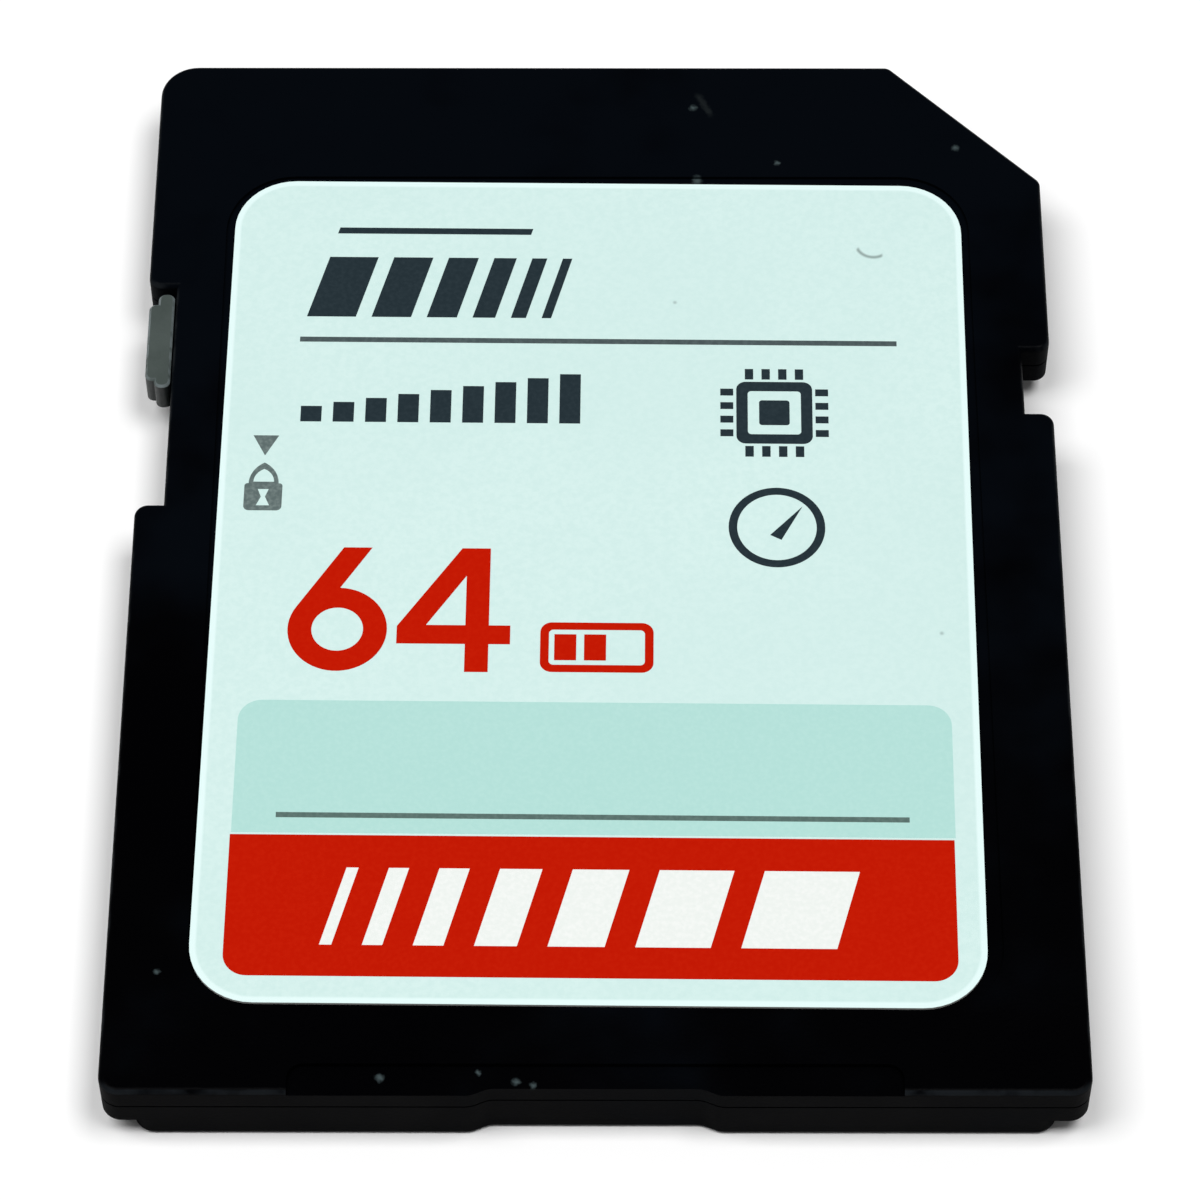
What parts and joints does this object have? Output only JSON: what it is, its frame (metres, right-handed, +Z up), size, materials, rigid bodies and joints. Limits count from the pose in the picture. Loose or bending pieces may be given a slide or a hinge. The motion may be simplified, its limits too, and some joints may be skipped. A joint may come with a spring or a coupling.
{
  "type": "sd memory card",
  "caption": "Flat memory card with a cut corner, stepped guide rails, a printed label in a shallow recess, gold contacts in windows of its back and a sliding write-protect switch.",
  "frame": {"origin": "middle of the flat back face that the card lies on", "axes": "+X towards the side with the cut corner, +Y towards the leading end with the contacts, +Z up through the label"},
  "size_m": [0.024, 0.032, 0.0021],
  "materials": {
    "cover_plastic": "fine moulded texture, satin",
    "label_film": "smooth printed label stock",
    "switch_plastic": "satin moulded",
    "board_laminate": "solder mask",
    "contact_gold": "gold plated, satin",
    "package_resin": "moulded resin",
    "capacitor_ceramic": "fired ceramic with tinned end caps",
    "resistor_ceramic": "glazed with tinned end caps"
  },
  "bodies": {
    "card": {"front_cover": "cover_plastic", "back_cover": "cover_plastic", "label": "label_film", "circuit_board": "board_laminate", "contact_1": "contact_gold", "contact_2": "contact_gold", "contact_3": "contact_gold", "contact_4": "contact_gold", "contact_5": "contact_gold", "contact_6": "contact_gold", "contact_7": "contact_gold", "contact_8": "contact_gold", "contact_9": "contact_gold", "flash_memory": "package_resin", "controller": "package_resin", "capacitor_1": "capacitor_ceramic", "capacitor_2": "capacitor_ceramic", "capacitor_3": "capacitor_ceramic", "capacitor_4": "capacitor_ceramic", "resistor_1": "resistor_ceramic", "resistor_2": "resistor_ceramic", "resistor_3": "resistor_ceramic", "resistor_4": "resistor_ceramic", "resistor_5": "resistor_ceramic"},
    "switch": {"write_protect_switch": "switch_plastic"}
  },
  "joints": [
    {"name": "write_protect_slide", "type": "slide", "parent": "card", "child": "switch", "axis": [0, -1, 0], "range_m": [0, 0.0038]}
  ]
}
